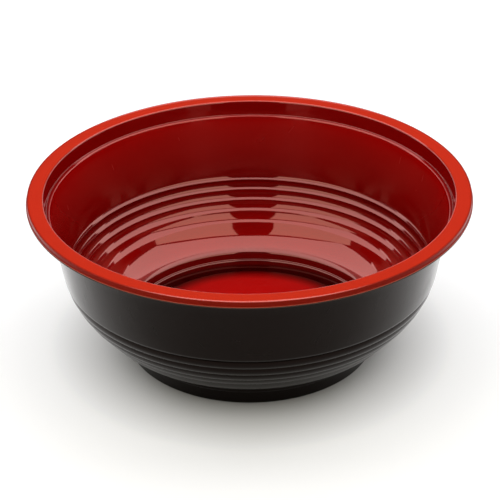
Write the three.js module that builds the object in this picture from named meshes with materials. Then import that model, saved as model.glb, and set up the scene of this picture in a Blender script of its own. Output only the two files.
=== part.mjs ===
// An open food bowl, formed from one plastic sheet that is red on one side and black on the other.
// Millimetres, +Z up. The origin is on the bowl's axis, in the plane of the foot ring's underside.
import * as THREE from "three";

// Sheet
const RED_THICKNESS = 0.3;
const BOND_LINE = 0.02;
const BLACK_THICKNESS = 0.48;
const SHEET = RED_THICKNESS + BOND_LINE + BLACK_THICKNESS;

// Overall
const HEIGHT = 73.2;
const RIM_RADIUS = 93;

// Rim: a flat ring with a short skirt that ends in the flange where the bowl was cut from its sheet
const RIM_WIDTH = 5.2;
const SKIRT_DROP = 1.7;
const FLANGE_WIDTH = 1.2;

// Lid seat: a ledge under the rim, below a nearly upright collar
const SEAT_DEPTH = 6.4;
const SEAT_WIDTH = 1.9;
const COLLAR_DRAFT = THREE.MathUtils.degToRad(8);

// Stepped zone: each step is a sloping ledge between a crease and a lip, and a riser below the lip
const STEP_COUNT = 5;
const FIRST_CREASE_RADIUS = 79;
const FIRST_CREASE_DEPTH = 35.15;
const LAST_CREASE_RADIUS = 70.3;
const LAST_CREASE_DEPTH = 51.5;
const STEP_BULGE = 1.2;
const PITCH_GROWTH = 0.033;
const FIRST_LEDGE_SLOPE = THREE.MathUtils.degToRad(44);
const LAST_LEDGE_SLOPE = THREE.MathUtils.degToRad(38);
const FIRST_LEDGE_LENGTH = 1.5;
const LAST_LEDGE_LENGTH = 3.1;

// Dished wall between the last lip and the foot: a steep band, a cone and a nearly flat ring
const CONE_TOP_RADIUS = 65.3;
const CONE_TOP_DEPTH = 57.35;
const CONE_FOOT_RADIUS = 60.2;
const CONE_FOOT_DEPTH = 61.2;

// Foot: a drum with one small tread half way down
const FOOT_RADIUS = 55.4;
const FOOT_DEPTH = 62.6;
const FOOT_DRAFT = THREE.MathUtils.degToRad(5);
const FOOT_TREAD_DROP = 3.4;
const FOOT_TREAD_WIDTH = 1.3;

// Foot ring and the raised floor inside it
const RING_WIDTH = 1.4;
const FLOOR_RISE = 2.8;
const FLOOR_DRAFT = THREE.MathUtils.degToRad(21);

// Corner radii on the red face
const EDGE_RADIUS = 1.1;
const CREASE_RADIUS = 0.3;

// Facets: steps round the axis, and steps round each edge
const SEGMENTS = 48;
const EDGE_FACETS = 2;
const STEP_EDGE_FACETS = 1;

const depth = (below) => HEIGHT - below;

// A corner of the section: r from the axis, z from the table, a fillet and the steps that draw it
function corner(r, z, fillet = 0, facets = 0) {
  return { point: new THREE.Vector2(r, z), fillet, facets };
}

// The flange, the skirt, the flat ring and the collar down to the lid seat
function rimCorners() {
  const skirtFoot = depth(SKIRT_DROP);
  const innerRadius = RIM_RADIUS - RIM_WIDTH;
  const seatOuter = innerRadius - SEAT_DEPTH * Math.tan(COLLAR_DRAFT);
  return [
    corner(RIM_RADIUS + FLANGE_WIDTH, skirtFoot),
    corner(RIM_RADIUS, skirtFoot),
    corner(RIM_RADIUS, HEIGHT, EDGE_RADIUS, EDGE_FACETS),
    corner(innerRadius, HEIGHT, EDGE_RADIUS, EDGE_FACETS),
    corner(seatOuter, depth(SEAT_DEPTH)),
    corner(seatOuter - SEAT_WIDTH, depth(SEAT_DEPTH), EDGE_RADIUS, STEP_EDGE_FACETS),
  ];
}

// How far along the stepped zone one step is: 0 for the highest, 1 for the lowest
const stepShare = (index) => index / (STEP_COUNT - 1);

// An arch over the way from 0 to 1: nothing at both ends and 1 in the middle
const arch = (share) => 4 * share * (1 - share);

// The crease above one ledge: the creases lie on a bulging line and draw apart toward the foot
function stepCrease(index) {
  const first = new THREE.Vector2(FIRST_CREASE_RADIUS, depth(FIRST_CREASE_DEPTH));
  const last = new THREE.Vector2(LAST_CREASE_RADIUS, depth(LAST_CREASE_DEPTH));
  const along = last.clone().sub(first);
  const outward = new THREE.Vector2(-along.y, along.x).normalize();
  const middling = arch(stepShare(index));
  const share = stepShare(index) - PITCH_GROWTH * middling;
  return first.addScaledVector(along, share).addScaledVector(outward, STEP_BULGE * middling);
}

// The lip at the lower end of one ledge
function stepLip(index) {
  const length = THREE.MathUtils.lerp(FIRST_LEDGE_LENGTH, LAST_LEDGE_LENGTH, stepShare(index));
  const slope = THREE.MathUtils.lerp(FIRST_LEDGE_SLOPE, LAST_LEDGE_SLOPE, stepShare(index));
  const downhill = new THREE.Vector2(-Math.cos(slope), -Math.sin(slope));
  return stepCrease(index).addScaledVector(downhill, length);
}

// Crease and rounded lip in turn, from the upper wall down to the last lip
function stepCorners() {
  const corners = [];
  for (let index = 0; index < STEP_COUNT; index += 1) {
    const crease = stepCrease(index);
    const lip = stepLip(index);
    corners.push(corner(crease.x, crease.y));
    corners.push(corner(lip.x, lip.y, EDGE_RADIUS, STEP_EDGE_FACETS));
  }
  return corners;
}

// The two ends of the cone in the dished wall
function dishCorners() {
  return [
    corner(CONE_TOP_RADIUS, depth(CONE_TOP_DEPTH)),
    corner(CONE_FOOT_RADIUS, depth(CONE_FOOT_DEPTH)),
  ];
}

// The drum, its tread, the foot ring and the raised floor, as far as the axis
function footCorners() {
  const slope = Math.tan(FOOT_DRAFT);
  const treadHeight = depth(FOOT_DEPTH + FOOT_TREAD_DROP);
  const treadOuter = FOOT_RADIUS - FOOT_TREAD_DROP * slope;
  const treadInner = treadOuter - FOOT_TREAD_WIDTH;
  const ringOuter = treadInner - (treadHeight - SHEET) * slope;
  const ringInner = ringOuter - RING_WIDTH;
  const floorEdge = ringInner - FLOOR_RISE * Math.tan(FLOOR_DRAFT);
  return [
    corner(FOOT_RADIUS, depth(FOOT_DEPTH), EDGE_RADIUS, EDGE_FACETS),
    corner(treadOuter, treadHeight),
    corner(treadInner, treadHeight),
    corner(ringOuter, SHEET, CREASE_RADIUS, STEP_EDGE_FACETS),
    corner(ringInner, SHEET),
    corner(floorEdge, SHEET + FLOOR_RISE, EDGE_RADIUS, STEP_EDGE_FACETS),
    corner(0, SHEET + FLOOR_RISE),
  ];
}

// The red face's section, from the cut edge of the flange to the middle of the floor
const SECTION = [...rimCorners(), ...stepCorners(), ...dishCorners(), ...footCorners()];

// The way from one point to the next, and the side of it on which the sheet's thickness lies
const heading = (from, to) => to.clone().sub(from).normalize();
const sheetSide = (way) => new THREE.Vector2(-way.y, way.x);

// The section moved by a distance into the sheet: each corner slides along its mitre
function shifted(section, distance) {
  return section.map((item, index) => {
    const before = index > 0 ? heading(section[index - 1].point, item.point) : null;
    const after = index < section.length - 1 ? heading(item.point, section[index + 1].point) : null;
    const sideBefore = sheetSide(before ?? after);
    const sideAfter = sheetSide(after ?? before);
    const mitre = sideBefore.clone().add(sideAfter).normalize();
    const reach = distance / mitre.dot(sideAfter);
    const point = item.point.clone().addScaledVector(mitre, reach);
    const turn = before && after ? Math.sign(before.cross(after)) : 0;
    const fillet = item.facets > 0 ? Math.max(item.fillet - turn * distance, CREASE_RADIUS / 2) : 0;
    return { point, fillet, facets: item.facets };
  });
}

// The points of one corner: the corner itself, or an arc that its neighbours leave room for
function cornerPoints(previous, item, next) {
  if (item.facets === 0) {
    return [item.point];
  }
  const before = heading(previous.point, item.point);
  const after = heading(item.point, next.point);
  const turn = before.cross(after);
  const halfTurn = Math.atan2(Math.abs(turn), before.dot(after)) / 2;
  const room = 0.5 * Math.min(item.point.distanceTo(previous.point), item.point.distanceTo(next.point));
  const tangent = Math.min(item.fillet * Math.tan(halfTurn), room);
  const radius = tangent / Math.tan(halfTurn);
  const start = item.point.clone().addScaledVector(before, -tangent);
  const centre = start.clone().addScaledVector(sheetSide(before), Math.sign(turn) * radius);
  const startAngle = start.clone().sub(centre).angle();
  const endAngle = startAngle + Math.sign(turn) * 2 * halfTurn;
  const arc = new THREE.ArcCurve(centre.x, centre.y, radius, startAngle, endAngle, turn < 0);
  return arc.getPoints(item.facets);
}

// One surface of the sheet, as points from the flange's edge to the axis
function surface(distance) {
  const section = shifted(SECTION, distance);
  return section.flatMap((item, index) => cornerPoints(section[index - 1], item, section[index + 1]));
}

// One layer of the sheet: the section between two surfaces, turned about the bowl's axis
function layer(name, upper, lower, material) {
  const underside = surface(lower).reverse();
  const topside = surface(upper);
  const geometry = new THREE.LatheGeometry([...underside, ...topside], SEGMENTS);
  geometry.rotateX(Math.PI / 2);
  const mesh = new THREE.Mesh(geometry, material);
  mesh.name = name;
  return mesh;
}

const redPlastic = new THREE.MeshStandardMaterial({ color: 0xa80a06, roughness: 0.12, metalness: 0 });
const blackPlastic = new THREE.MeshStandardMaterial({ color: 0x17120f, roughness: 0.3, metalness: 0 });

const bowl = new THREE.Group();
bowl.add(layer("red_inner_layer", 0, RED_THICKNESS, redPlastic));
bowl.add(layer("black_outer_layer", RED_THICKNESS + BOND_LINE, SHEET, blackPlastic));

export default bowl;
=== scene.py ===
"""Takeout bowl: a stepped food bowl formed from one sheet, glossy red inside and satin black outside.

Metres, +Z up, standing on the plane z = 0, with the bowl's axis on the Z axis.
"""

import math
from collections import namedtuple

import bmesh
import bpy
from bpy.props import FloatProperty, FloatVectorProperty, IntProperty, PointerProperty
from mathutils import Matrix, Vector


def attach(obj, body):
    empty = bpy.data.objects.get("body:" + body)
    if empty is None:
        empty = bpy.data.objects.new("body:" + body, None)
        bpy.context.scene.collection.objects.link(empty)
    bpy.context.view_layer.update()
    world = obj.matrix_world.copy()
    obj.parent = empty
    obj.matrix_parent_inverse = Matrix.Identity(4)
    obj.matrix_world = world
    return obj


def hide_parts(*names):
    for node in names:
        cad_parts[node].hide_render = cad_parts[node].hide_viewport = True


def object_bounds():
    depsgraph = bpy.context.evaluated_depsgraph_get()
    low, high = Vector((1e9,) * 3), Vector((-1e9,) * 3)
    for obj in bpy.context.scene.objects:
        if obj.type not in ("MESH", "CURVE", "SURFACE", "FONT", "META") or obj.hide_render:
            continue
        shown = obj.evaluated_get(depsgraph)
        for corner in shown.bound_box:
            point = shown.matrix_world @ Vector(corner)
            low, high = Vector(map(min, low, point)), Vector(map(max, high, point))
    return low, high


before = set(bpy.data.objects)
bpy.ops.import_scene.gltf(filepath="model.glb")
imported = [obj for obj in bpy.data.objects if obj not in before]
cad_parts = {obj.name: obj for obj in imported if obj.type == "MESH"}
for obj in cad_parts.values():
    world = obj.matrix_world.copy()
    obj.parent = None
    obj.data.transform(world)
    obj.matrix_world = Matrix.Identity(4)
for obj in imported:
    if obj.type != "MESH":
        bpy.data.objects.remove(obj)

CAD_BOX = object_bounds()

bl_info = {
    "name": "Takeout Bowl",
    "version": (1, 0, 0),
    "blender": (4, 5, 0),
    "location": "View3D > Sidebar > Bowl",
    "description": "A two-coloured formed food bowl with a stepped wall, and its studio",
    "category": "Object",
}

# One corner of the sheet's section: distance from the axis, height, and the radius of its rounding
Corner = namedtuple("Corner", "radius height fillet")

# One softbox: its name and centre, its turn about the upright, its size, brightness and tint
Softbox = namedtuple("Softbox", "name place turn size brightness tint")

# Soft clouds over a surface: scale and detail of their noise, and the shares they lie between
Clouds = namedtuple("Clouds", "scale detail lowest highest")

CENTRE = (0, 0, 0)
AXIS = (0, 0, 1)
FULL_TURN = 2 * math.pi
QUARTER_TURN = math.pi / 2
MERGE_DISTANCE = 1e-6
SHARP_ANGLE = math.radians(38)

# The section's edges are cut until none is longer than this
LONGEST_EDGE = 0.006

# Room that a hollow leaves for the rounding of the lip above it
LIP_CLEARANCE = 0.0004

# The share of a side that a rounding may take, beside another rounded corner or a plain one
HALF_ROOM = 0.48
FULL_ROOM = 0.95

# The floor, which is less glossy than the wall, reaches this far from the axis
FLOOR_REACH = 0.0487

# The duller outer edge starts this far inside the flat rim's outer corner
EDGE_REACH = 0.0005

# Distances from the axis between which the stretched upper wall loses some gloss and regains it
GLOSS_LOST = (0.0795, 0.082)
GLOSS_REGAINED = (0.0838, 0.0846)

# The pigment tints the red face's highlights
RED_SHEEN = (1, 0.45, 0.4, 1)

# The black face's highlights are dim and warm where it is looked at squarely
BLACK_SHEEN = (0.4, 0.28, 0.24, 1)

# Where the red darkens: shares of the rim's radius, and the thickness left there. This is partly the
# sheet drawn thin and partly painted shade on the collar, the deep wall, the drum and the floor's
# edge
DRAWN_AND_SHADE_STOPS = (
    (0.0, 0.85),
    (0.46, 0.8),
    (0.53, 0.0),
    (0.575, 0.0),
    (0.595, 0.13),
    (0.63, 0.5),
    (0.73, 0.43),
    (0.84, 0.16),
    (0.897, 0.68),
    (0.914, 0.34),
    (0.926, 0.34),
    (0.932, 1.0),
    (0.99, 1.0),
    (0.997, 0.42),
)

# The sheared edge of the flange: its colours, and how far inside it they set in and are full
TORN_RED = (0.42, 0.09, 0.06)
TORN_BLACK = (0.05, 0.035, 0.03)
TORN_BAND = (0.00005, 0.00002)

# Roughness of rubs, scratches and the sheared edge
WORN_RED = 0.45
WORN_BLACK = 0.5

# The parts of a noise's range that make soft clouds, rubs and hair scratches
CLOUD_SPAN = (0.3, 0.7)
RUB_SPAN = (0.52, 0.75)
HAIR_SPAN = (0.71, 0.78)

# The two sets of hair scratches: how each is turned, and how many times longer than wide it is
HAIR_SETS = (((0.2, 0.3, 0.5), 26.0), ((0.84, 0.3, 2.1), 19.0))

# How strongly rubs show beside hair scratches
RUB_STRENGTH = 0.4

# The forming ripple's bump, and how many of its fine waves lie in a broad one
RIPPLE_STRENGTH = 0.3
RIPPLE_HEIGHT = 0.0006
FINE_WAVES = 9.0

# Clouds, handling marks and forming ripple on each surface
RED_STREAKS = Clouds(45.0, 3.0, 0.95, 1.05)
RED_MARKS = (("Scale", 55.0), ("Amount", 0.18))
RED_RIPPLE = (("Scale", 28.0), ("Fine", 0.02))
BLACK_CLOUDS = Clouds(38.0, 3.0, 0.88, 1.15)
BLACK_MARKS = (("Scale", 70.0), ("Amount", 0.5))
BLACK_RIPPLE = (("Scale", 30.0), ("Fine", 0.05))
PAPER_CLOUDS = Clouds(3.0, 2.0, 0.995, 1.005)

# Roughness of paper and card, and how little the paper shines
MATT = 0.9
PAPER_SHINE = 0.1

WHITE = (1, 1, 1, 1)
CARD_COLOUR = (0.01, 0.01, 0.01, 1)
ROOM_COLOUR = (1, 0.97, 0.94, 1)

# The paper's glow sets in between these distances from the axis, so a painted shadow stays round the
# foot
FOOT_SHADOW = (0.054, 0.09)

# What the bowl mirrors of the paper's glow sets in between these places along Y: painted shade, so
# reflections show the floor dark in front of the bowl
FRONT_SHADE = (-0.09, 0.03)

# The backdrop's sweep round the bowl: where it starts, how far it goes and in how many steps
BACKDROP_START = math.radians(-10)
BACKDROP_SWEEP = math.radians(200)
BACKDROP_STEPS = 64

# The bend at the backdrop's foot: its lift off the floor, its size, and its line in shares of it
BEND_LIFT = 0.0005
BEND_SIZE = 0.25
BEND_LINE = ((0.3, 0.04), (0.7, 0.3), (0.96, 0.7), (1, 1))

LAMP_HEIGHT = 0.5
WARM_WHITE = (1, 0.98, 0.97)
WARM = (1, 0.95, 0.8)
SOFTBOXES = (
    Softbox("overhead_softbox", (0.03, 0.18, LAMP_HEIGHT), 0, (1.4, 0.56), 2.2, WARM_WHITE),
    Softbox("right_wing", (0.95, 0.72, LAMP_HEIGHT), 0, (0.7, 0.75), 2.7, WARM_WHITE),
    Softbox("left_wing", (-0.95, 0.72, LAMP_HEIGHT), 0, (0.7, 0.75), 2.7, WARM_WHITE),
    Softbox("right_softbox", (0.42, -0.6, LAMP_HEIGHT), 0, (0.84, 0.9), 1.95, WARM),
    Softbox("left_softbox", (-0.5, -0.57, LAMP_HEIGHT), math.radians(-5), (1, 0.9), 1.95, WARM),
)

# The dark card below the front softboxes, as x and y: the steps mirror it as a dark wedge
CARD_HEIGHT = 0.49
CARD_CORNERS = ((-0.07, -0.13), (0.045, -0.13), (0.28, -1.06), (-0.37, -1.06))


def length(name, description, default):
    """A size in metres that a user can change."""
    return FloatProperty(
        name=name, description=description, default=default, min=0, unit="LENGTH", precision=5
    )


def angle(name, description, degrees):
    """An angle that a user can change."""
    return FloatProperty(
        name=name, description=description, default=math.radians(degrees), unit="ROTATION"
    )


def colour(name, description, default):
    """A surface colour that a user can change, as linear red, green and blue."""
    return FloatVectorProperty(
        name=name, description=description, default=default, subtype="COLOR", min=0, max=1
    )


def factor(name, description, default, highest=1.0):
    """A plain number from nothing up to its highest."""
    return FloatProperty(name=name, description=description, default=default, min=0, max=highest)


def count(name, description, default, lowest):
    """A whole number from its lowest up."""
    return IntProperty(name=name, description=description, default=default, min=lowest)


# Sizes and colours


class BowlSheet(bpy.types.PropertyGroup):
    """The sheet that the bowl is formed from, and how finely it is drawn."""

    red_thickness: length("Red layer", "Thickness of the red layer", 0.0003)
    bond_line: length("Bond line", "Gap between the two layers", 0.00002)
    black_thickness: length("Black layer", "Thickness of the black layer", 0.00048)
    turns: count("Steps round", "Faces round the bowl's axis", 192, 48)
    fillet_steps: count("Fillet steps", "Faces across one rounded corner", 5, 1)


class BowlRim(bpy.types.PropertyGroup):
    """The flat rim, its skirt and the seat below it."""

    height: length("Height", "Height of the flat rim", round(CAD_BOX[1].z, 5))
    radius: length("Radius", "Radius of the flat rim's outer edge", 0.0938)
    width: length("Width", "Width of the flat rim", 0.0069)
    skirt_drop: length("Skirt drop", "Height of the skirt round the rim", 0.0019)
    flange_width: length("Flange width", "Width of the trimmed flange", 0.0004)
    seat_depth: length("Seat depth", "Depth of the seat below the rim", 0.0064)
    seat_width: length("Seat width", "Width of the seat", 0.0015)
    collar_draft: angle("Collar draft", "Lean of the wall between rim and seat", 8)
    edge_radius: length("Edge radius", "Rounding of the rim's outer edge", 0.0003)
    inner_radius: length("Inner radius", "Rounding of the rim's inner edge", 0.0008)
    seat_radius: length("Seat radius", "Rounding of the seat's lip", 0.0012)
    root_radius: length("Root radius", "Rounding at the foot of skirt and collar", 0.0003)


class BowlWall(bpy.types.PropertyGroup):
    """The stepped zone and the dished wall below it."""

    step_count: count("Steps", "Number of steps in the wall", 5, 2)
    first_radius: length("First radius", "Radius of the highest crease", 0.079)
    first_depth: length("First depth", "Depth of the highest crease below the rim", 0.03515)
    last_radius: length("Last radius", "Radius of the lowest crease", 0.0703)
    last_depth: length("Last depth", "Depth of the lowest crease below the rim", 0.0515)
    bulge: length("Bulge", "How far the line of creases bows outward", 0.0012)
    pitch_growth: factor("Pitch growth", "How much the creases draw apart downward", 0.033)
    first_slope: angle("First slope", "Slope of the highest ledge", 44)
    last_slope: angle("Last slope", "Slope of the lowest ledge", 38)
    first_ledge: length("First ledge", "Length of the highest ledge", 0.0015)
    last_ledge: length("Last ledge", "Length of the lowest ledge", 0.0031)
    first_cove: length("First cove", "Radius of the highest step's hollow", 0.0023)
    last_cove: length("Last cove", "Radius of the lowest step's hollow", 0.0095)
    first_runout: angle("First runout", "Slope of the highest hollow at its lip", 16)
    last_runout: angle("Last runout", "Slope of the lowest hollow at its lip", 31)
    cove_points: count("Cove points", "Points drawn in one hollow", 9, 2)
    lip_radius: length("Lip radius", "Rounding of the lips", 0.0003)
    cone_top_radius: length("Cone top radius", "Upper radius of the dish's cone", 0.0653)
    cone_top_depth: length("Cone top depth", "Depth of its upper end below the rim", 0.05735)
    cone_foot_radius: length("Cone foot radius", "Lower radius of the dish's cone", 0.0602)
    cone_foot_depth: length("Cone foot depth", "Depth of its lower end below the rim", 0.0612)
    dish_radius: length("Dish radius", "Rounding at both ends of the cone", 0.017)


class BowlFoot(bpy.types.PropertyGroup):
    """The drum, the foot ring and the raised floor."""

    radius: length("Radius", "Radius at the drum's shoulder", 0.0554)
    depth: length("Depth", "Depth of the drum's shoulder below the rim", 0.0626)
    draft: angle("Draft", "Lean of the drum", 5)
    tread_drop: length("Tread drop", "Height from the shoulder to the small tread", 0.0034)
    tread_width: length("Tread width", "Width of the small tread", 0.0013)
    ring_width: length("Ring width", "Width of the foot ring", 0.0014)
    floor_rise: length("Floor rise", "How far the floor stands above the foot ring", 0.0028)
    floor_draft: angle("Floor draft", "Lean of the wall inside the foot ring", 21)
    edge_radius: length("Edge radius", "Rounding of the shoulder and the floor's edge", 0.0013)
    tread_radius: length("Tread radius", "Rounding of the tread's edge", 0.0007)
    root_radius: length("Root radius", "Rounding of the small corners", 0.0004)


class BowlFinish(bpy.types.PropertyGroup):
    """Colours and gloss of the two layers."""

    rim_red: colour("Rim red", "Colour of the rim, which isn't drawn", (0.49, 0.021, 0.006))
    full_red: colour("Full red", "Colour of the floor, drawn little", (0.44, 0.0012, 0.0008))
    # Darkest red: where the sheet is drawn thin, and painted shade in the deep wall, drum and corners
    drawn_and_shaded_red: colour("Drawn red", "Colour where the sheet is drawn thin", (0.05, 0.0003, 0.0003))
    black: colour("Black", "Colour of the black layer", (0.0016, 0.0008, 0.0006))
    red_gloss: factor("Red roughness", "Roughness of the clean red face", 0.04)
    dull_gloss: factor("Dull roughness", "Roughness of the bowl's floor and outer edge", 0.3)
    wall_gloss: factor("Wall roughness", "Roughness of the stretched upper wall", 0.24)
    black_gloss: factor("Black roughness", "Roughness of the clean black face", 0.2)
    red_index: factor("Red index", "Refractive index of the red face", 2.0, 3.0)
    dull_index: factor("Dull index", "Refractive index of the floor and outer edge", 1.2, 3.0)
    black_index: factor("Black index", "Refractive index of the black face", 1.42, 3.0)


class BowlStudio(bpy.types.PropertyGroup):
    """The floor, the lamps and the camera."""

    floor_size: length("Floor size", "Side of the square floor", 7.0)
    floor_colour: colour("Floor colour", "Colour of floor and backdrop", (0.6, 0.61, 0.635))
    backdrop_radius: length("Backdrop radius", "Distance from the bowl to the backdrop", 1.7)
    backdrop_height: length("Backdrop height", "Height of the backdrop", 0.74)
    floor_glow: factor("Floor glow", "Light that the floor adds for the camera", 0.42)
    backdrop_glow: factor("Backdrop glow", "Light that the backdrop adds for the camera", 0.9)
    # Painted reflection light: reflections show the floor's glow brighter than the camera sees it
    mirrored_painted_glow: factor(
        "Mirrored glow", "How many times brighter reflections show the floor's glow", 2.2, 5
    )
    world_level: factor("World level", "Brightness of the room around", 0.06)
    lamp_level: factor("Lamp level", "Brightness of all the softboxes together", 1, 10)
    lens: FloatProperty(
        name="Lens", description="Focal length of the camera", default=135.8, unit="CAMERA"
    )
    distance: length("Distance", "Distance from the camera to the rim's centre", 0.798)
    elevation: angle("Elevation", "Height of the camera above the rim's centre", 27.61)
    tilt_below: angle("Tilt", "How far the camera looks below the rim's centre", 1.88)
    roll: angle("Roll", "Turn of the camera round its line of sight", -0.66)


class TakeoutBowl(bpy.types.PropertyGroup):
    """All that can be changed on the bowl and its studio."""

    sheet: PointerProperty(type=BowlSheet)
    rim: PointerProperty(type=BowlRim)
    wall: PointerProperty(type=BowlWall)
    foot: PointerProperty(type=BowlFoot)
    finish: PointerProperty(type=BowlFinish)
    studio: PointerProperty(type=BowlStudio)


# The section of the sheet, along its red face


def rim_corners(rim):
    """From the trimmed flange over the flat rim down to the seat."""
    skirt_foot = rim.height - rim.skirt_drop
    inner = rim.radius - rim.width
    seat = rim.height - rim.seat_depth
    seat_outer = inner - rim.seat_depth * math.tan(rim.collar_draft)
    return [
        Corner(rim.radius + rim.flange_width, skirt_foot, 0),
        Corner(rim.radius, skirt_foot, rim.root_radius),
        Corner(rim.radius, rim.height, rim.edge_radius),
        Corner(inner, rim.height, rim.inner_radius),
        Corner(seat_outer, seat, rim.root_radius),
        Corner(seat_outer - rim.seat_width, seat, rim.seat_radius),
    ]


def arch(share):
    """Nothing at 0 and 1, and 1 half way between."""
    return 4 * share * (1 - share)


def step_crease(rim, wall, share):
    """The crease above one ledge, with share 0 for the highest and 1 for the lowest."""
    first = Vector((wall.first_radius, rim.height - wall.first_depth))
    last = Vector((wall.last_radius, rim.height - wall.last_depth))
    along = last - first
    outward = Vector((-along.y, along.x)).normalized()
    reach = share - wall.pitch_growth * arch(share)
    return first + along * reach + outward * wall.bulge * arch(share)


def step_lip(rim, wall, share):
    """The lip at the lower end of one ledge."""
    ledge = wall.first_ledge + (wall.last_ledge - wall.first_ledge) * share
    slope = wall.first_slope + (wall.last_slope - wall.first_slope) * share
    return step_crease(rim, wall, share) + Vector((-math.cos(slope), -math.sin(slope))) * ledge


def cove_corners(start, lip, runout, radius, points):
    """The hollow of one step: an arc that ends at the lip, after a straight riser from start."""
    inward = Vector((-math.sin(runout), math.cos(runout)))
    chord = start - lip
    radius = min(radius, chord.length_squared / (2 * chord.dot(inward)))
    centre = lip + inward * radius
    reach = start - centre
    steepest = math.atan2(reach.x, -reach.y) - math.acos(min(radius / reach.length, 1))
    corners = []
    for index in range(points):
        slope = steepest + (runout - steepest) * index / points
        point = centre + Vector((math.sin(slope), -math.cos(slope))) * radius
        if (point - start).length > LIP_CLEARANCE:
            corners.append(Corner(*point, 0))
    return corners


def step_corners(rim, wall):
    """Hollows and lips in turn, down the stepped zone."""
    seat = rim_corners(rim)[-1]
    start = Vector((seat.radius, seat.height))
    corners = []
    for index in range(wall.step_count):
        share = index / (wall.step_count - 1)
        lip = step_lip(rim, wall, share)
        widening = share**2
        runout = wall.first_runout + (wall.last_runout - wall.first_runout) * widening
        radius = wall.first_cove + (wall.last_cove - wall.first_cove) * widening
        corners += cove_corners(start, lip, runout, radius, wall.cove_points)
        corners.append(Corner(*lip, wall.lip_radius))
        start = lip
    return corners


def dish_corners(rim, wall):
    """The two ends of the cone in the dished wall."""
    return [
        Corner(wall.cone_top_radius, rim.height - wall.cone_top_depth, wall.dish_radius),
        Corner(wall.cone_foot_radius, rim.height - wall.cone_foot_depth, wall.dish_radius),
    ]


def foot_corners(rim, foot, sheet_thickness):
    """The drum, its tread, the foot ring and the raised floor, as far as the axis."""
    slope = math.tan(foot.draft)
    shoulder = rim.height - foot.depth
    tread = shoulder - foot.tread_drop
    tread_outer = foot.radius - foot.tread_drop * slope
    tread_inner = tread_outer - foot.tread_width
    ring_outer = tread_inner - (tread - sheet_thickness) * slope
    ring_inner = ring_outer - foot.ring_width
    floor = sheet_thickness + foot.floor_rise
    floor_edge = ring_inner - foot.floor_rise * math.tan(foot.floor_draft)
    return [
        Corner(foot.radius, shoulder, foot.edge_radius),
        Corner(tread_outer, tread, foot.root_radius),
        Corner(tread_inner, tread, foot.tread_radius),
        Corner(ring_outer, sheet_thickness, foot.root_radius),
        Corner(ring_inner, sheet_thickness, foot.root_radius),
        Corner(floor_edge, floor, foot.edge_radius),
        Corner(0, floor, 0),
    ]


def section_corners(bowl):
    """The whole section along the red face, from the flange's edge to the axis."""
    sheet = bowl.sheet
    thickness = sheet.red_thickness + sheet.bond_line + sheet.black_thickness
    return (
        rim_corners(bowl.rim)
        + step_corners(bowl.rim, bowl.wall)
        + dish_corners(bowl.rim, bowl.wall)
        + foot_corners(bowl.rim, bowl.foot, thickness)
    )


# From the section to the two layers


def tangent_length(before, corner, after):
    """How far a corner's rounding reaches along its two sides, as far as they leave room."""
    here = Vector((corner.radius, corner.height))
    way_in = here - Vector((before.radius, before.height))
    way_out = Vector((after.radius, after.height)) - here
    reach = corner.fillet * math.tan(way_in.angle(way_out) / 2)
    room_in = way_in.length * (HALF_ROOM if before.fillet > 0 else FULL_ROOM)
    room_out = way_out.length * (HALF_ROOM if after.fillet > 0 else FULL_ROOM)
    return min(reach, room_in, room_out)


def draw_section(mesh, corners, fillet_steps):
    """Draws the section as a line of edges and rounds its corners.

    While the corners are rounded, two points well above the mouth close the line to a face,
    because only the corners of a face can be bevelled.
    """
    points = [mesh.verts.new((corner.radius, 0, corner.height)) for corner in corners]
    high = 2 * corners[0].height
    above = [mesh.verts.new((corner.radius, 0, high)) for corner in (corners[-1], corners[0])]
    mesh.faces.new(points + above)
    for index in range(1, len(corners) - 1):
        corner = corners[index]
        if corner.fillet > 0:
            bmesh.ops.bevel(
                mesh,
                geom=[points[index]],
                offset=tangent_length(corners[index - 1], corner, corners[index + 1]),
                offset_type="OFFSET",
                segments=fillet_steps,
                profile=0.5,
                affect="VERTICES",
                material=-1,
            )
    bmesh.ops.delete(mesh, geom=above, context="VERTS")


def subdivide_long(mesh, longest):
    """Cuts the section's long edges, so that no edge is longer than this."""
    for edge in list(mesh.edges):
        cuts = int(edge.calc_length() / longest)
        if cuts > 0:
            bmesh.ops.subdivide_edges(mesh, edges=[edge], cuts=cuts)


def turn_section(mesh, turns):
    """Spins the section round the axis into one surface whose faces look into the bowl."""
    bmesh.ops.spin(
        mesh,
        geom=mesh.verts[:] + mesh.edges[:],
        cent=CENTRE,
        axis=AXIS,
        angle=FULL_TURN,
        steps=turns,
        use_merge=True,
    )
    bmesh.ops.remove_doubles(mesh, verts=mesh.verts[:], dist=MERGE_DISTANCE)
    bmesh.ops.recalc_face_normals(mesh, faces=mesh.faces[:])
    floor = min(mesh.faces, key=lambda face: face.calc_center_median().xy.length)
    if floor.normal.z < 0:
        bmesh.ops.reverse_faces(mesh, faces=mesh.faces[:])


def sink(mesh, depth):
    """Moves the whole surface into the sheet by the same depth everywhere."""
    mesh.normal_update()
    moves = [(vert, vert.normal * vert.calc_shell_factor() * depth) for vert in mesh.verts]
    for vert, move in moves:
        vert.co -= move


def mark_sharp_edges(mesh):
    """Keeps the cut edges crisp and everything else smooth."""
    for face in mesh.faces:
        face.smooth = True
    for edge in mesh.edges:
        edge.smooth = edge.calc_face_angle(0) < SHARP_ANGLE


def mark_dull_faces(mesh, rim, dull):
    """Gives the floor and the outer edge the material of that number."""
    for face in mesh.faces:
        reach = face.calc_center_median().xy.length
        if reach < FLOOR_REACH or reach > rim.radius - EDGE_REACH:
            face.material_index = dull


def make_object(name, mesh, materials):
    """Makes an object of a finished mesh and its materials."""
    data = bpy.data.meshes.new(name)
    mesh.to_mesh(data)
    mesh.free()
    for material in materials:
        data.materials.append(material)
    thing = bpy.data.objects.new(name, data)
    bpy.context.collection.objects.link(thing)
    return thing


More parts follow.
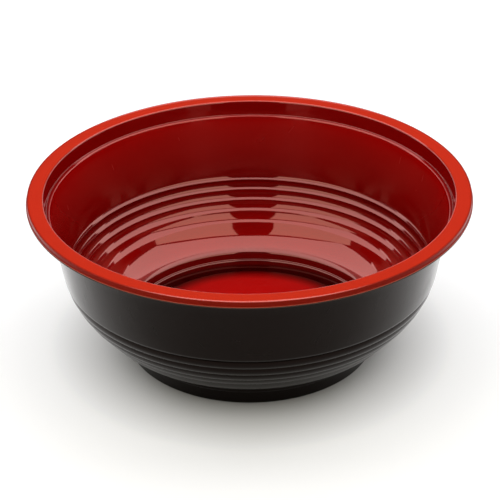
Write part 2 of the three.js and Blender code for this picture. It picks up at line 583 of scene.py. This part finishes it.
def form_layer(name, node, materials, near, far):
    """One layer of the sheet, between two depths below the red face.

    Of two materials, the second is for the duller floor and outer edge.
    """
    bowl = bpy.context.scene.takeout_bowl
    mesh = bmesh.new()
    draw_section(mesh, section_corners(bowl), bowl.sheet.fillet_steps)
    subdivide_long(mesh, LONGEST_EDGE)
    turn_section(mesh, bowl.sheet.turns)
    sink(mesh, near)
    bmesh.ops.solidify(mesh, geom=mesh.faces[:], thickness=far - near)
    mark_sharp_edges(mesh)
    mark_dull_faces(mesh, bowl.rim, len(materials) - 1)
    piece = make_object(name, mesh, materials)
    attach(piece, "root")
    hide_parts(node)


# Shader nodes


def set_inputs(tree, node, inputs):
    """Sets a node's inputs: pairs of a socket's name or number and a value or another socket."""
    for key, value in inputs:
        if isinstance(value, bpy.types.NodeSocket):
            tree.links.new(value, node.inputs[key])
        else:
            node.inputs[key].default_value = value


def add_node(tree, kind, inputs=(), **settings):
    """Adds a shader node with its settings and inputs."""
    node = tree.nodes.new(kind)
    for name, value in settings.items():
        setattr(node, name, value)
    set_inputs(tree, node, inputs)
    return node


def new_group(name, inputs, output):
    """An empty shader group with number sockets. Returns its tree, entry and exit."""
    tree = bpy.data.node_groups.new(name, "ShaderNodeTree")
    for label in inputs:
        tree.interface.new_socket(name=label, in_out="INPUT", socket_type="NodeSocketFloat")
    tree.interface.new_socket(name=output, in_out="OUTPUT", socket_type="NodeSocketFloat")
    return tree, tree.nodes.new("NodeGroupInput"), tree.nodes.new("NodeGroupOutput")


def use_group(tree, name, maker, inputs):
    """Adds a shader group, which its first user makes, and returns its output socket."""
    if name not in bpy.data.node_groups:
        maker(name)
    group = bpy.data.node_groups[name]
    return add_node(tree, "ShaderNodeGroup", inputs, node_tree=group).outputs[0]


def calculate(tree, operation, *values):
    """One step of arithmetic, as its output socket."""
    return add_node(tree, "ShaderNodeMath", enumerate(values), operation=operation).outputs[0]


def object_place(tree):
    """Where each point is, in the frame."""
    return tree.nodes.new("ShaderNodeTexCoord").outputs["Object"]


def axis_distance(tree, place):
    """How far each point is from the bowl's axis."""
    parts = add_node(tree, "ShaderNodeSeparateXYZ", [("Vector", place)]).outputs
    squares = [calculate(tree, "MULTIPLY", parts[axis], parts[axis]) for axis in "XY"]
    return calculate(tree, "SQRT", calculate(tree, "ADD", *squares))


def object_noise(tree, place, scale, detail):
    """A soft cloud of numbers over the piece."""
    inputs = [("Vector", place), ("Scale", scale), ("Detail", detail)]
    return add_node(tree, "ShaderNodeTexNoise", inputs).outputs["Fac"]


def spread(tree, value, low, high, to_low=0.0, to_high=1.0):
    """Stretches the numbers between low and high over another range, and clips the rest."""
    inputs = [("Value", value), (1, low), (2, high), (3, to_low), (4, to_high)]
    return add_node(tree, "ShaderNodeMapRange", inputs, clamp=True).outputs[0]


def mix_colour(tree, mask, first, second):
    """A colour between two colours, where mask is 0 for the first and 1 for the second."""
    inputs = [(0, mask)]
    for key, value in ((6, first), (7, second)):
        is_socket = isinstance(value, bpy.types.NodeSocket)
        inputs.append((key, value if is_socket else (*value, 1)))
    return add_node(tree, "ShaderNodeMix", inputs, data_type="RGBA").outputs[2]


def shaded(base, share):
    """A darker or lighter version of one colour."""
    return [min(channel * share, 1) for channel in base]


def cloudy(tree, place, base, clouds):
    """A colour with soft clouds between a darker and a lighter version of itself."""
    noise = object_noise(tree, place, clouds.scale, clouds.detail)
    mask = spread(tree, noise, *CLOUD_SPAN)
    return mix_colour(tree, mask, shaded(base, clouds.lowest), shaded(base, clouds.highest))


def new_material(name):
    """A new node material. Returns it, its tree and its Principled shader."""
    material = bpy.data.materials.new(name)
    material.use_nodes = True
    tree = material.node_tree
    return material, tree, tree.nodes["Principled BSDF"]


# Effects that both plastics use


def make_ripple(name):
    """Shallow unevenness that the stretched sheet keeps from forming."""
    tree, entry, leave = new_group(name, ["Scale", "Fine"], "Height")
    scale = entry.outputs["Scale"]
    place = object_place(tree)
    broad = object_noise(tree, place, scale, detail=1.0)
    fine_scale = calculate(tree, "MULTIPLY", scale, FINE_WAVES)
    fine = object_noise(tree, place, fine_scale, detail=2.0)
    faint = calculate(tree, "MULTIPLY", fine, entry.outputs["Fine"])
    set_inputs(tree, leave, [("Height", calculate(tree, "ADD", broad, faint))])


def make_marks(name):
    """Faint rubs and hair scratches from stacking and handling."""
    tree, entry, leave = new_group(name, ["Scale", "Amount"], "Marks")
    scale = entry.outputs["Scale"]
    place = object_place(tree)
    rubs = spread(tree, object_noise(tree, place, scale, detail=4.0), *RUB_SPAN)
    hairs = []
    for rotation, slenderness in HAIR_SETS:
        inputs = [("Vector", place), ("Rotation", rotation), ("Scale", (1.0, slenderness, 1.0))]
        turned = add_node(tree, "ShaderNodeMapping", inputs).outputs[0]
        hairs.append(spread(tree, object_noise(tree, turned, scale, detail=1.0), *HAIR_SPAN))
    scratches = calculate(tree, "MAXIMUM", *hairs)
    weak_rubs = calculate(tree, "MULTIPLY", rubs, RUB_STRENGTH)
    both = calculate(tree, "MAXIMUM", weak_rubs, scratches)
    marks = calculate(tree, "MULTIPLY", both, entry.outputs["Amount"])
    set_inputs(tree, leave, [("Marks", marks)])


def formed_normal(tree, ripple):
    """The face's normal, with the ripple of forming."""
    waves = use_group(tree, "Forming ripple", make_ripple, ripple)
    inputs = [("Strength", RIPPLE_STRENGTH), ("Distance", RIPPLE_HEIGHT), ("Height", waves)]
    return add_node(tree, "ShaderNodeBump", inputs).outputs[0]


def worn_roughness(tree, clean, worn, cut, marks):
    """Roughness that goes from clean to worn on the handling marks and the sheared edge."""
    handled = use_group(tree, "Handling marks", make_marks, marks)
    return spread(tree, calculate(tree, "MAXIMUM", handled, cut), 0.0, 1.0, clean, worn)


def cut_edge_mask(tree, reach, rim):
    """1 on the sheared edge of the flange, 0 on the rest."""
    edge = rim.radius + rim.flange_width
    low, high = (edge - inside for inside in TORN_BAND)
    return spread(tree, reach, low, high)


# Materials


def thickness_and_shade_tone(tree, reach, rim):
    """How much of its full red the layer keeps, from the floor's middle to the rim: partly thickness,
    partly painted shade.
    """
    share = calculate(tree, "DIVIDE", reach, rim.radius)
    ramp = add_node(tree, "ShaderNodeValToRGB", [("Fac", share)])
    stops = ramp.color_ramp.elements
    while len(stops) < len(DRAWN_AND_SHADE_STOPS):
        stops.new(1)
    for stop, (stop_share, left) in zip(stops, DRAWN_AND_SHADE_STOPS):
        stop.position = stop_share
        stop.color = (left, left, left, 1)
    return ramp.outputs[0]


def red_tone(tree, place, reach, bowl):
    """The red's colour, darker where the sheet is drawn and where shade is painted. The undrawn rim
    has a colour of its own.
    """
    rim = bowl.rim
    noise = object_noise(tree, place, RED_STREAKS.scale, RED_STREAKS.detail)
    streaks = spread(tree, noise, *CLOUD_SPAN, RED_STREAKS.lowest, RED_STREAKS.highest)
    # Painted shade: the ramp darkens the deep parts as well as the thin sheet
    fullness_and_shade = calculate(tree, "MULTIPLY", thickness_and_shade_tone(tree, reach, rim), streaks)
    inner = rim.radius - rim.width
    undrawn = spread(tree, reach, inner, inner + rim.edge_radius)
    thick = mix_colour(tree, undrawn, bowl.finish.full_red, bowl.finish.rim_red)
    return mix_colour(tree, fullness_and_shade, bowl.finish.drawn_and_shaded_red, thick)


def red_roughness(tree, reach, gloss, wall_gloss):
    """Roughness of the clean red face, which is higher on the stretched upper wall."""
    below = spread(tree, reach, *GLOSS_LOST, 0.0, wall_gloss)
    above = spread(tree, reach, *GLOSS_REGAINED, 1.0, 0.0)
    return calculate(tree, "MAXIMUM", gloss, calculate(tree, "MULTIPLY", below, above))


def red_plastic(name, gloss, index, bowl):
    """Glossy red polypropylene, formed against air, so it keeps a mirror-like face."""
    material, tree, shader = new_material(name)
    place = object_place(tree)
    reach = axis_distance(tree, place)
    cut = cut_edge_mask(tree, reach, bowl.rim)
    tone = red_tone(tree, place, reach, bowl)
    clean = red_roughness(tree, reach, gloss, bowl.finish.wall_gloss)
    inputs = [
        ("Base Color", mix_colour(tree, cut, tone, TORN_RED)),
        ("Roughness", worn_roughness(tree, clean, WORN_RED, cut, RED_MARKS)),
        ("IOR", index),
        ("Specular Tint", RED_SHEEN),
        ("Normal", formed_normal(tree, RED_RIPPLE)),
    ]
    set_inputs(tree, shader, inputs)
    return material


def black_plastic(bowl):
    """Satin black polypropylene, with the fine texture of the mould that it was formed on."""
    material, tree, shader = new_material("satin black sheet")
    place = object_place(tree)
    cut = cut_edge_mask(tree, axis_distance(tree, place), bowl.rim)
    tone = cloudy(tree, place, bowl.finish.black, BLACK_CLOUDS)
    clean = bowl.finish.black_gloss
    inputs = [
        ("Base Color", mix_colour(tree, cut, tone, TORN_BLACK)),
        ("Roughness", worn_roughness(tree, clean, WORN_BLACK, cut, BLACK_MARKS)),
        ("IOR", bowl.finish.black_index),
        ("Specular Tint", BLACK_SHEEN),
        ("Normal", formed_normal(tree, BLACK_RIPPLE)),
    ]
    set_inputs(tree, shader, inputs)
    return material


def pale_paper(name, base, glow, mirrored_painted_glow):
    """Matt pale paper with the slightest unevenness, whose glow is left off round the bowl's foot: a
    painted shadow.

    Reflections show it brighter beside and behind the bowl and darker in front: painted reflection
    light and shade.
    """
    material, tree, shader = new_material(name)
    place = object_place(tree)
    rays = tree.nodes.new("ShaderNodeLightPath").outputs
    mirrored = calculate(tree, "MAXIMUM", rays["Is Glossy Ray"], rays["Is Transmission Ray"])
    along = add_node(tree, "ShaderNodeSeparateXYZ", [("Vector", place)]).outputs["Y"]
    # Painted reflection light and shade: reflections see the glow stronger, but none in front of the
    # bowl
    painted_reflection_glow = spread(tree, along, *FRONT_SHADE, 0.0, mirrored_painted_glow)
    mirrored = calculate(tree, "MULTIPLY", mirrored, painted_reflection_glow)
    seen = calculate(tree, "MAXIMUM", rays["Is Camera Ray"], mirrored)
    # Painted shadow: no glow round the foot, so the floor stays darker there
    glow_past_foot = spread(tree, axis_distance(tree, place), *FOOT_SHADOW, 0.0, glow)
    inputs = [
        ("Base Color", cloudy(tree, place, base, PAPER_CLOUDS)),
        ("Roughness", MATT),
        ("Specular IOR Level", PAPER_SHINE),
        ("Emission Color", WHITE),
        ("Emission Strength", calculate(tree, "MULTIPLY", seen, glow_past_foot)),
    ]
    set_inputs(tree, shader, inputs)
    back = tree.nodes.new("ShaderNodeNewGeometry").outputs["Backfacing"]
    clear = calculate(tree, "MULTIPLY", back, rays["Is Camera Ray"])
    see_through = tree.nodes.new("ShaderNodeBsdfTransparent").outputs[0]
    layers = [(0, clear), (1, shader.outputs[0]), (2, see_through)]
    surface = add_node(tree, "ShaderNodeMixShader", layers).outputs[0]
    set_inputs(tree, tree.nodes["Material Output"], [("Surface", surface)])
    return material


# Studio


def add_stage_mesh(name, mesh, material):
    """Makes a smooth stage object of a finished mesh."""
    for face in mesh.faces:
        face.smooth = True
    thing = make_object(name, mesh, [material])
    return thing


def add_floor(studio, material):
    """The floor that the bowl stands on."""
    mesh = bmesh.new()
    bmesh.ops.create_grid(mesh, x_segments=2, y_segments=2, size=studio.floor_size / 2)
    add_stage_mesh("floor", mesh, material)


def add_backdrop(studio, material):
    """A low curved wall of the same paper, behind the bowl and at its sides."""
    foot = studio.backdrop_radius
    bend = [(foot + BEND_SIZE * outward, BEND_SIZE * upward) for outward, upward in BEND_LINE]
    line = [(foot, BEND_LIFT), *bend, (foot + BEND_SIZE, studio.backdrop_height)]
    mesh = bmesh.new()
    points = [mesh.verts.new((reach, 0, height)) for reach, height in line]
    for first, second in zip(points, points[1:]):
        mesh.edges.new((first, second))
    start = Matrix.Rotation(BACKDROP_START, 4, "Z")
    bmesh.ops.transform(mesh, matrix=start, verts=mesh.verts[:])
    bmesh.ops.spin(
        mesh,
        geom=mesh.verts[:] + mesh.edges[:],
        cent=CENTRE,
        axis=AXIS,
        angle=BACKDROP_SWEEP,
        steps=BACKDROP_STEPS,
    )
    add_stage_mesh("backdrop", mesh, material)


def add_softbox(box, level):
    """A rectangular softbox that faces straight down."""
    data = bpy.data.lights.new(box.name, "AREA")
    data.shape = "RECTANGLE"
    data.size, data.size_y = box.size
    data.energy = level * box.brightness * math.pi * data.size * data.size_y
    data.color = box.tint
    lamp = bpy.data.objects.new(box.name, data)
    lamp.location = box.place
    lamp.rotation_euler = (0, 0, box.turn)
    bpy.context.collection.objects.link(lamp)


def add_card():
    """The dark card. The camera doesn't see it, so that it never hides the bowl from above."""
    material, tree, shader = new_material("dark card")
    set_inputs(tree, shader, [("Base Color", CARD_COLOUR), ("Roughness", MATT)])
    mesh = bmesh.new()
    mesh.faces.new([mesh.verts.new((x, y, CARD_HEIGHT)) for x, y in CARD_CORNERS])
    add_stage_mesh("dark_card", mesh, material).visible_camera = False


def add_camera(studio, rim):
    """The camera at the photograph's angle."""
    data = bpy.data.cameras.new("camera")
    data.lens = studio.lens
    camera = bpy.data.objects.new("camera", data)
    away = Vector((0, -math.cos(studio.elevation), math.sin(studio.elevation)))
    camera.location = Vector((0, 0, rim.height)) + away * studio.distance
    tip = QUARTER_TURN - studio.elevation - studio.tilt_below
    turn = Matrix.Rotation(tip, 4, "X") @ Matrix.Rotation(studio.roll, 4, "Z")
    camera.rotation_euler = turn.to_euler()
    bpy.context.collection.objects.link(camera)
    bpy.context.scene.camera = camera


def set_world(studio):
    """A plain, dim and slightly warm room."""
    world = bpy.data.worlds.new("room")
    world.use_nodes = True
    tree = world.node_tree
    inputs = [("Color", ROOM_COLOUR), ("Strength", studio.world_level)]
    set_inputs(tree, tree.nodes["Background"], inputs)
    bpy.context.scene.world = world


# Operators


class BOWL_OT_form_red_layer(bpy.types.Operator):
    """Form the red layer, which lines the bowl"""

    bl_idname = "bowl.form_red_layer"
    bl_label = "Form Red Layer"

    def execute(self, context):
        bowl = context.scene.takeout_bowl
        finish = bowl.finish
        glossy = red_plastic("glossy red sheet", finish.red_gloss, finish.red_index, bowl)
        dull = red_plastic("dull red sheet", finish.dull_gloss, finish.dull_index, bowl)
        far = bowl.sheet.red_thickness
        form_layer("red_lining", "red_inner_layer", [glossy, dull], 0, far)
        return {"FINISHED"}


class BOWL_OT_form_black_layer(bpy.types.Operator):
    """Form the black layer, which is the bowl's outside"""

    bl_idname = "bowl.form_black_layer"
    bl_label = "Form Black Layer"

    def execute(self, context):
        bowl = context.scene.takeout_bowl
        satin = black_plastic(bowl)
        near = bowl.sheet.red_thickness + bowl.sheet.bond_line
        far = near + bowl.sheet.black_thickness
        form_layer("black_shell", "black_outer_layer", [satin], near, far)
        return {"FINISHED"}


class BOWL_OT_build_studio(bpy.types.Operator):
    """Lay the floor, hang the lamps and set up the camera"""

    bl_idname = "bowl.build_studio"
    bl_label = "Build Studio"

    def execute(self, context):
        bowl = context.scene.takeout_bowl
        studio = bowl.studio
        base = studio.floor_colour
        floor = pale_paper("pale floor", base, studio.floor_glow, studio.mirrored_painted_glow)
        backdrop = pale_paper("pale backdrop", base, studio.backdrop_glow, mirrored_painted_glow=1.0)
        add_floor(studio, floor)
        add_backdrop(studio, backdrop)
        for box in SOFTBOXES:
            add_softbox(box, studio.lamp_level)
        add_card()
        set_world(studio)
        add_camera(studio, bowl.rim)
        context.scene.view_settings.view_transform = "Standard"
        return {"FINISHED"}


class BOWL_PT_bowl(bpy.types.Panel):
    """Sizes, colours and pieces of the bowl"""

    bl_idname = "BOWL_PT_bowl"
    bl_label = "Takeout Bowl"
    bl_space_type = "VIEW_3D"
    bl_region_type = "UI"
    bl_category = "Bowl"

    def draw(self, context):
        bowl = context.scene.takeout_bowl
        for title in ("sheet", "rim", "wall", "foot", "finish", "studio"):
            box = self.layout.box()
            box.label(text=title.capitalize())
            group = getattr(bowl, title)
            for name in group.__annotations__:
                box.prop(group, name)
        for operator in OPERATORS:
            self.layout.operator(operator.bl_idname)


SETTINGS = (BowlSheet, BowlRim, BowlWall, BowlFoot, BowlFinish, BowlStudio, TakeoutBowl)
OPERATORS = (BOWL_OT_form_red_layer, BOWL_OT_form_black_layer, BOWL_OT_build_studio)


def register():
    """Makes the settings, operators and panel known to Blender."""
    for item in (*SETTINGS, *OPERATORS, BOWL_PT_bowl):
        bpy.utils.register_class(item)
    bpy.types.Scene.takeout_bowl = PointerProperty(type=TakeoutBowl)


def unregister():
    """Takes them back out."""
    del bpy.types.Scene.takeout_bowl
    for item in reversed((*SETTINGS, *OPERATORS, BOWL_PT_bowl)):
        bpy.utils.unregister_class(item)


def main():
    """Builds everything."""
    register()
    bpy.ops.bowl.form_red_layer()
    bpy.ops.bowl.form_black_layer()
    bpy.ops.bowl.build_studio()


if __name__ == "__main__":
    main()
